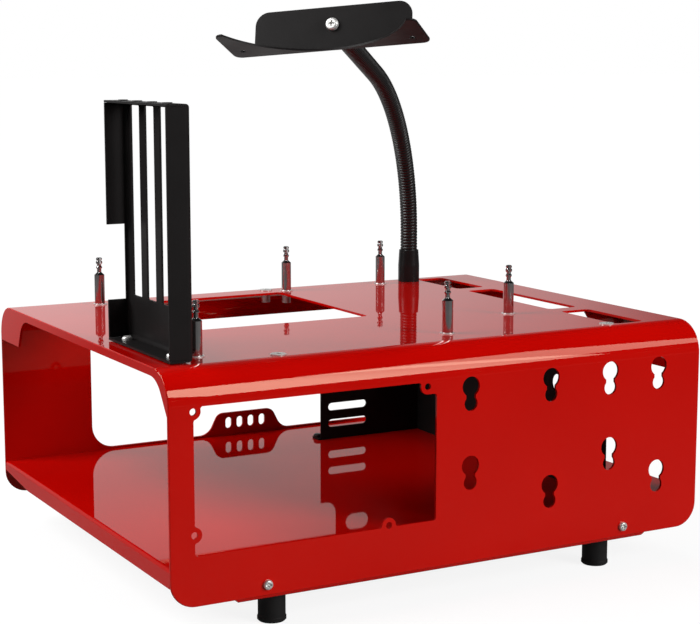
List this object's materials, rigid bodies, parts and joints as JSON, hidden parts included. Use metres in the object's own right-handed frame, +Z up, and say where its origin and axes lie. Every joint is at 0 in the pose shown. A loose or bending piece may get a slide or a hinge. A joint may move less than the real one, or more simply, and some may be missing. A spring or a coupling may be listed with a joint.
{
  "type": "open air test bench",
  "caption": "Open computer test bench: a folded red shell over a floor tray, with board standoffs, a slotted card bracket, a drive rack and a gooseneck fan holder on short round feet.",
  "frame": {"origin": "on the ground under the middle of the bench", "axes": "+X along the near panel towards the cable slots, +Y away from the near panel, +Z up"},
  "size_m": [0.34, 0.276, 0.3293],
  "materials": {
    "red_lacquer": "gloss red lacquer",
    "black_coat": "satin black powder coat",
    "hose_black": "black ribbed sleeve over a steel coil",
    "ferrule_black": "satin black",
    "chrome": "bright plated",
    "zinc": "bright zinc plate",
    "black_fastener": "black oxide",
    "rubber": "matt black rubber"
  },
  "bodies": {
    "bench": {"top_shell": "red_lacquer", "floor_tray": "red_lacquer", "card_bracket": "black_coat", "drive_rack": "black_coat", "gooseneck_hose": "hose_black", "arm_base": "ferrule_black", "arm_nut": "zinc", "arm_washer": "zinc", "threaded_inserts": "zinc", "tray_screw_1": "zinc", "tray_screw_2": "zinc", "tray_screw_3": "zinc", "tray_screw_4": "zinc", "tray_nut_1": "zinc", "tray_nut_2": "zinc", "tray_nut_3": "zinc", "tray_nut_4": "zinc", "foot_1": "rubber", "foot_2": "rubber", "foot_3": "rubber", "foot_4": "rubber", "foot_screw_1": "zinc", "foot_screw_2": "zinc", "foot_screw_3": "zinc", "foot_screw_4": "zinc", "foot_nut_1": "zinc", "foot_nut_2": "zinc", "foot_nut_3": "zinc", "foot_nut_4": "zinc", "standoff_1": "chrome", "standoff_2": "chrome", "standoff_3": "chrome", "standoff_4": "chrome", "standoff_5": "chrome", "standoff_6": "chrome", "card_screw_1": "zinc", "card_screw_2": "zinc", "card_nut_1": "black_fastener", "card_nut_2": "black_fastener", "card_nut_3": "black_fastener", "card_nut_4": "black_fastener", "rack_screw_1": "black_fastener", "rack_screw_2": "black_fastener", "rack_screw_3": "black_fastener", "rack_screw_4": "black_fastener", "rack_nut_1": "zinc", "rack_nut_2": "zinc", "rack_nut_3": "zinc", "rack_nut_4": "zinc"},
    "arm_tip": {"arm_end": "ferrule_black", "fan_screw": "zinc"},
    "fan_holder": {"fan_bracket": "black_coat"}
  },
  "joints": [
    {"name": "arm_bend", "type": "hinge", "parent": "bench", "child": "arm_tip", "pos_m": [0.09928, 0.0945, 0.24255], "axis": [-0.6756, 0.7373, 0], "range_deg": [-20, 20], "deforming": ["gooseneck_hose"]},
    {"name": "holder_turn", "type": "hinge", "parent": "arm_tip", "child": "fan_holder", "pos_m": [-0.00244, 0.00129, 0.31503], "axis": [-0.6937, -0.6356, 0.3387], "range_deg": [-40, 40]}
  ]
}
